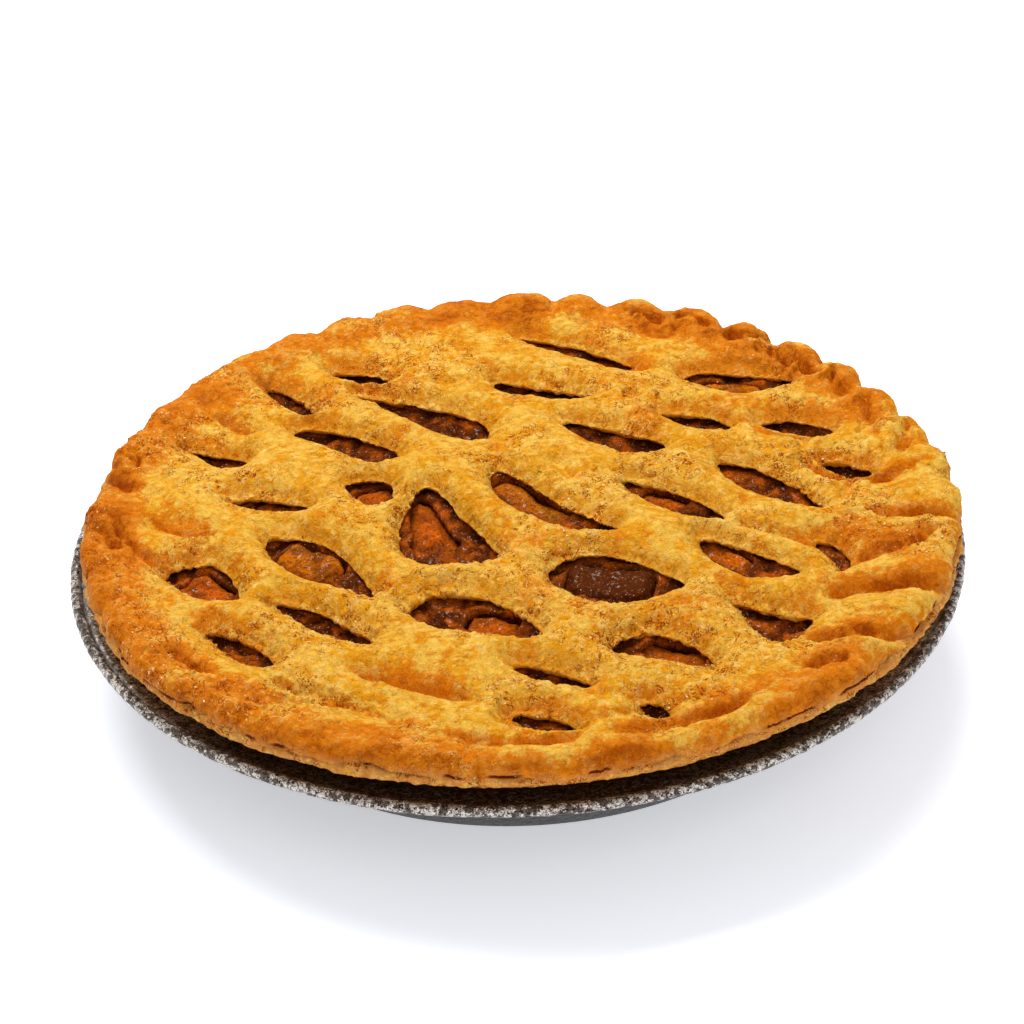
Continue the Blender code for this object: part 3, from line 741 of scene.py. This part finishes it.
def syrup_finish(look):
    """Dark syrup, paler over the diced apple and where it clings to a chunk."""
    f = Finish("spiced syrup", IOR=1.42, Coat_Roughness=0.08, Specular_IOR_Level=0.05)
    place = f.place()
    patch = f.noise(place, 7 * MM, 3, 0.6)
    tone = f.mix(look.syrup, look.pulp, f.field("diced") * patch.step(0.4, 0.62) * 0.75)
    tone = f.mix(tone, look.apple, f.noise(place, 5 * MM, 2).step(0.52, 0.66) * 0.7)
    tone = f.mix(tone, look.pulp, f.field("cling") * 0.4)
    return fruit_finish(f, tone, patch, look, 0.65, 0.8, 1.2 * MM, 0.15)


def apples(look):
    """The chunks of cooked apple that show through the lattice."""
    finish = apple_finish(look)
    pool = solid_tree("filling")
    for number, node in enumerate(APPLES):
        chunk = add_object(f"cooked_{node}", cad_copy(node))
        settle(chunk, voxels(APPLE_GRAIN), ("SMOOTH", {"factor": 0.6, "iterations": 7}))
        mesh = chunk.data
        points, normals = points_of(mesh), normals_of(mesh)
        sunk = 1 - smooth_step(away_from(pool, points, SUNK_REACH), 0.8 * MM, 3 * MM)
        rise = 0.9 * MM * unevenness(points, 5 * MM, 31 + number)
        rise += 0.3 * MM * unevenness(points, 1.7 * MM, 51 + number, 3)
        points += normals * (rise - 0.2 * MM)[:, None]
        move_to(mesh, points)
        add_fields(mesh, sunk=sunk, pale=np.full(len(points), PALE[number]))
        place_piece(chunk, finish, "apple", node)


def apple_finish(look):
    """Cooked apple, darker where syrup soaked in."""
    f = Finish("cooked apple", IOR=1.42, Coat_Roughness=0.08, Specular_IOR_Level=0.05)
    patch, pale = f.noise(f.place(), 7 * MM, 3, 0.6), f.field("pale")
    tone = f.mix(look.apple_dark, look.apple, pale.step(0, 0.6))
    tone = f.mix(tone, look.apple_gold, pale.step(0.6, 1))
    tone = f.mix(tone, look.apple_dark, patch.step(0.42, 0.62) * 0.7)
    tone = f.mix(tone, look.pulp, f.field("sunk") * 0.7 * pale.step(0, 0.5))
    return fruit_finish(f, tone, patch, look, 0.6, 0.7, 0.9 * MM, 0.18)


# Tin

TIN_STEPS = 900
FOIL = 0.45 * MM  # thickness of the wall
WALL_FOOT, WALL_TOP = 85.5 * MM, 111 * MM  # radii of the cup's outer face, at the floor and flange
CORNER = 2.2 * MM  # how far the cup's rounded corner reaches along floor and wall
CORNER_STEPS, ROLL_STEPS = 6, 22
BEAD = 1.7 * MM  # radius of the rolled rim
BEAD_START, BEAD_END = 118.4 * MM, 119 * MM  # radii between which the flange becomes the bead
SHADE_START, SHADE_END = -60 * MM, -95 * MM  # how far to the front the flange gets dark


def cup_line(inset):
    """The cup's face this far inside its outer one, as (radius, height), from the middle out."""
    slope = (WALL_TOP - WALL_FOOT) / FLANGE
    foot = Vector((WALL_FOOT - inset, inset))
    start, end = foot - Vector((CORNER, 0)), foot + CORNER * Vector((slope, 1)).normalized()
    shares = [step / CORNER_STEPS for step in range(CORNER_STEPS + 1)]
    bend = [start.lerp(foot, share).lerp(foot.lerp(end, share), share) for share in shares]
    rise = [end.lerp(Vector((WALL_TOP, FLANGE)), share) for share in (0.25, 0.5, 0.75, 0.97)]
    return [Vector((0, inset)), Vector((0.5 * WALL_FOOT, inset)), *bend, *rise]


def arc(centre, radius, first, last, steps):
    """Points of an arc, with its angles in degrees."""
    turns = (math.radians(first + (last - first) * step / steps) for step in range(steps + 1))
    return [(centre[0] + radius * math.cos(t), centre[1] + radius * math.sin(t)) for t in turns]


def spun(profile, steps):
    """A closed profile of (radius, height) points turned round the axis."""
    bm = bmesh.new()
    verts = [bm.verts.new((radius, 0, height)) for radius, height in profile]
    edges = [bm.edges.new(pair) for pair in zip(verts, verts[1:])]
    bmesh.ops.spin(
        bm, geom=verts + edges, cent=(0, 0, 0), axis=(0, 0, 1), dvec=(0, 0, 0),
        angle=2 * math.pi, steps=steps, use_merge=True, use_duplicate=False,
    )
    bmesh.ops.remove_doubles(bm, verts=bm.verts, dist=MERGE)
    bmesh.ops.recalc_face_normals(bm, faces=bm.faces)
    return bm


def tin_profile():
    """The tin's cut face: out along its underside, round the bead and back along its inside."""
    across = np.linspace(WALL_TOP + MM, TIN_RADIUS - 4 * MM, 12).tolist()
    top = [(radius, FLANGE + 0.5 * FOIL) for radius in across]
    under = [(radius, height - FOIL) for radius, height in top]
    roll = arc((TIN_RADIUS - BEAD, FLANGE), BEAD - 0.08 * MM, 220, -140, ROLL_STEPS)
    return [*cup_line(0), *under, *roll[::-1], *top[::-1], *cup_line(FOIL)[::-1]]


def foil_tin(look):
    """The pressed cup, its embossed flange and the rolled, crinkled rim."""
    tin = add_object("pressed_foil_tin", spun(tin_profile(), TIN_STEPS))
    mesh = tin.data
    points, normals = points_of(mesh), normals_of(mesh)
    radius = np.hypot(points[:, 0], points[:, 1])
    angle = np.arctan2(points[:, 1], points[:, 0])
    ring = np.stack([TIN_RADIUS * np.cos(angle), TIN_RADIUS * np.sin(angle), points[:, 2] * 0.6], 1)
    bead = smooth_step(radius, BEAD_START, BEAD_END)
    dents = np.abs(unevenness(ring, 2.2 * MM, 41)) + 0.6 * np.abs(unevenness(ring, 5 * MM, 42))
    points -= normals * (look.crinkle * bead * dents)[:, None]
    move_to(mesh, points)
    front = smooth_step(points[:, 1], SHADE_START, SHADE_END)
    # Below the flange, where the cup's wall gets painted shade.
    under = smooth_step(points[:, 2], FLANGE - MM, FLANGE - 2 * MM)
    add_fields(mesh, bead=bead, shade=np.maximum(front, radius < WALL_TOP + MM), under=under)
    place_piece(tin, foil_finish(look), "foil", "foil_tin")


def foil_finish(look):
    """Embossed and crinkled foil, with painted highlights on its embossed ridges and bright patches,
    and painted shade and dark reflections at the front, under the crust and in the rim's folds.
    """
    f = Finish("pressed foil", Metallic=1.0, IOR=1.5)
    place = f.place()
    bead, shade = f.field("bead"), f.field("shade")
    worms = abs(f.noise(place, 1.3 * MM, 1, 0.5, 0.7) - 0.5).step(0.075, 0.02)
    scuffs = f.noise(place, 2.5 * MM, 4, 0.65)
    glint = f.noise(place, 1.1 * MM, 3, 0.7)
    folds = abs(f.noise(place, 1.2 * MM, 1, 0.4, 1.2) - 0.5).step(0.02, 0.06)
    # Painted highlight on the embossed ridges, with painted shade at the front and under the crust.
    highlight_share = (0.25 + 0.75 * worms) * (1 - 0.8 * shade) * scuffs.step(0.3, 0.55)
    flat = f.mix(look.shade_and_dark_reflection, look.foil, highlight_share)
    # Painted reflection: bright patches on the bead.
    sheen = f.noise(place, 2 * MM, 3, 0.6).step(0.45, 0.53)
    # Painted shade on the cup's wall below the flange.
    flat = f.mix(flat, look.wall, f.field("under"))
    # The bead: painted reflection patches, with painted shade along its crinkle folds.
    rolled = f.mix(look.shade_and_dark_reflection, look.foil, (0.15 + 0.85 * sheen) * folds)
    bump = f.bump((worms, look.emboss), (scuffs, 0.3 * MM), (glint * folds * bead, 0.8 * MM))
    rough = 0.22 + 0.3 * scuffs
    return f.show(Base_Color=f.mix(flat, rolled, bead), Roughness=rough, Normal=bump)


# Crumbs


def chips(name, surface, likely, amount, size, flatness, seed):
    """Small rough chips lying on the surface, joined in one mesh."""
    picks = np.random.default_rng(seed)
    chosen = picks.choice(len(likely), amount, p=likely / likely.sum())
    places, normals = points_of(surface.data)[chosen], normals_of(surface.data)[chosen]
    bm = bmesh.new()
    for place, normal in zip(places, normals):
        across = size * picks.uniform(0.4, 1.5)
        turn = Vector(normal).to_track_quat("Z", "Y").to_matrix().to_4x4()
        spin = Matrix.Rotation(picks.uniform(0, math.tau), 4, "Z")
        shape = Matrix.Diagonal((0.5 * across, 0.35 * across, flatness * across, 1))
        lie = Matrix.Translation(place) @ turn @ spin @ shape
        made = bmesh.ops.create_icosphere(bm, subdivisions=1, radius=1, matrix=lie)
        for vert in made["verts"]:
            vert.co += Vector(picks.normal(0, 0.08 * across, 3))
    return add_object(name, bm)


def speckled(name, dark, light, **constants):
    """A finish that turns from one colour to the other, chip by chip."""
    f = Finish(name, **constants)
    return f.show(Base_Color=f.mix(dark, light, f.noise(f.place(), 2 * MM).step(0.4, 0.6)))


def crumbs(look):
    """Flakes of crust on the lid, and beads of syrup on the filling whose paler ones are painted
    highlights.
    """
    lid, pool = (bpy.data.objects[name] for name in ("baked_lattice_lid", "spiced_filling"))
    points, normals = points_of(lid.data), normals_of(lid.data)
    likely = smooth_step(unevenness(points, 15 * MM, 5), -0.2, 0.5) ** 2 + 1e-4
    likely *= (normals[:, 2] > 0.3) & (points[:, 2] < HIGHEST.z - MM)
    flakes = chips("loose_flakes", lid, likely, look.flakes, look.size, 0.16, 3)
    finish = speckled("pale flake", rgb(214, 140, 40), rgb(246, 216, 160), IOR=1.4)
    place_piece(flakes, finish, "lattice_lid")
    likely = (normals_of(pool.data)[:, 2] > 0.5) * 1.0
    beads = chips("syrup_beads", pool, likely, look.beads, 0.6 * look.size, 0.3, 4)
    # Painted highlight: the beads run from syrup brown to near-white.
    finish = speckled("thick syrup", rgb(150, 70, 20), rgb(250, 226, 190), IOR=1.45, Roughness=0.1)
    place_piece(beads, finish, "filling")


# Stage

AIM = Vector((-0.9, 15.7, 32)) * MM
CAMERA_RISE = math.radians(32.2)
CAMERA_ROLL = math.radians(-2.47)
LENS = 113.65
GLOW = 0.5  # of the floor, which keeps the pie's shadow pale
ROOM_LIGHT = 0.36
FLOOR_HALF = 6  # half the floor's width, in metres
LAMP_AIM = Vector((0, 0, 20)) * MM


def camera(look):
    """A long lens looking down on the pie from the front, rolled a little to the left."""
    level = Vector((1, 0, 0))
    up = Vector((0, math.sin(CAMERA_RISE), math.cos(CAMERA_RISE)))
    back = Vector((0, -math.cos(CAMERA_RISE), math.sin(CAMERA_RISE)))
    cos, sin = math.cos(CAMERA_ROLL), math.sin(CAMERA_ROLL)
    axes = Matrix((level * cos + up * sin, up * cos - level * sin, back)).transposed()
    made = bpy.data.cameras.new("camera")
    made.lens, made.sensor_width = LENS, 36
    made.clip_start, made.clip_end = 0.05, 20
    seen = bpy.data.objects.new("camera", made)
    bpy.context.scene.collection.objects.link(seen)
    seen.matrix_world = Matrix.Translation(AIM + back * look.distance) @ axes.to_4x4()
    bpy.context.scene.camera = seen


def lamp(name, power, width, depth, place):
    """A soft box that shines on the pie."""
    made = bpy.data.lights.new(name, "AREA")
    made.energy, made.shape, made.size, made.size_y = power, "RECTANGLE", width, depth
    shown = bpy.data.objects.new(name, made)
    bpy.context.scene.collection.objects.link(shown)
    turn = (Vector(place) - LAMP_AIM).to_track_quat("Z", "Y")
    shown.matrix_world = Matrix.Translation(place) @ turn.to_matrix().to_4x4()


def stage(look):
    """A pale floor, an even room light, a soft box from behind and one in front, and a camera."""
    bm = bmesh.new()
    bmesh.ops.create_grid(bm, x_segments=4, y_segments=4, size=FLOOR_HALF)
    floor = add_object("floor", bm)
    paint = Finish("pale floor", Roughness=0.9, Specular_IOR_Level=0.1, Emission_Strength=GLOW)
    floor.data.materials.append(paint.show(Base_Color=look.floor, Emission_Color=look.floor))
    world = bpy.data.worlds.new("studio")
    world.use_nodes = True
    room = world.node_tree.nodes["Background"].inputs
    room["Color"].default_value, room["Strength"].default_value = (1, 1, 1, 1), ROOM_LIGHT
    bpy.context.scene.world = world
    lamp("key", 19, 1.1, 0.5, (-0.2, 0.6, 1.15))
    lamp("front fill", 7, 1.2, 1.2, (0.5, -1.2, 0.9))
    bpy.context.scene.view_settings.view_transform = "Standard"
    camera(look)


# Operators


class PIE_OT_lattice_lid(bpy.types.Operator):
    """Bake the slit and stretched lid"""

    bl_idname = "pie.lattice_lid"
    bl_label = "Lattice lid"

    def execute(self, context):
        lattice_lid(context.scene.dough_look)
        return {"FINISHED"}


class PIE_OT_bottom_crust(bpy.types.Operator):
    """Bake the crust under the filling"""

    bl_idname = "pie.bottom_crust"
    bl_label = "Bottom crust"

    def execute(self, context):
        bottom_crust(context.scene.dough_look)
        return {"FINISHED"}


class PIE_OT_filling(bpy.types.Operator):
    """Fill the crust with diced apple in syrup"""

    bl_idname = "pie.filling"
    bl_label = "Filling"

    def execute(self, context):
        filling(context.scene.filling_look)
        return {"FINISHED"}


class PIE_OT_apples(bpy.types.Operator):
    """Put the cooked apple chunks under the openings"""

    bl_idname = "pie.apples"
    bl_label = "Apple chunks"

    def execute(self, context):
        apples(context.scene.filling_look)
        return {"FINISHED"}


class PIE_OT_foil_tin(bpy.types.Operator):
    """Press and roll the foil tin"""

    bl_idname = "pie.foil_tin"
    bl_label = "Foil tin"

    def execute(self, context):
        foil_tin(context.scene.tin_look)
        return {"FINISHED"}


class PIE_OT_crumbs(bpy.types.Operator):
    """Scatter flakes on the lid and beads of syrup on the filling"""

    bl_idname = "pie.crumbs"
    bl_label = "Crumbs"

    def execute(self, context):
        crumbs(context.scene.crumb_look)
        return {"FINISHED"}


class PIE_OT_stage(bpy.types.Operator):
    """Lay the floor and set the lights and the camera"""

    bl_idname = "pie.stage"
    bl_label = "Stage"

    def execute(self, context):
        stage(context.scene.stage_look)
        return {"FINISHED"}


OPERATORS = (
    PIE_OT_foil_tin, PIE_OT_bottom_crust, PIE_OT_filling, PIE_OT_apples, PIE_OT_lattice_lid,
    PIE_OT_crumbs, PIE_OT_stage,
)


class PIE_PT_panel(bpy.types.Panel):
    """The steps of the pie, in order"""

    bl_label = "Lattice apple pie"
    bl_space_type = "VIEW_3D"
    bl_region_type = "UI"
    bl_category = "Pie"

    def draw(self, context):
        for step in OPERATORS:
            self.layout.operator(step.bl_idname)
        for look in LOOKS:
            settings = getattr(context.scene, look)
            box = self.layout.box()
            for name in settings.__annotations__:
                box.prop(settings, name)


def register():
    for kind in (*LOOKS.values(), *OPERATORS, PIE_PT_panel):
        bpy.utils.register_class(kind)
    for name, kind in LOOKS.items():
        setattr(bpy.types.Scene, name, bpy.props.PointerProperty(type=kind))


def unregister():
    for name in LOOKS:
        delattr(bpy.types.Scene, name)
    for kind in reversed((*LOOKS.values(), *OPERATORS, PIE_PT_panel)):
        bpy.utils.unregister_class(kind)


def main():
    register()
    for step in OPERATORS:
        group, name = step.bl_idname.split(".")
        getattr(getattr(bpy.ops, group), name)()


if __name__ == "__main__":
    main()
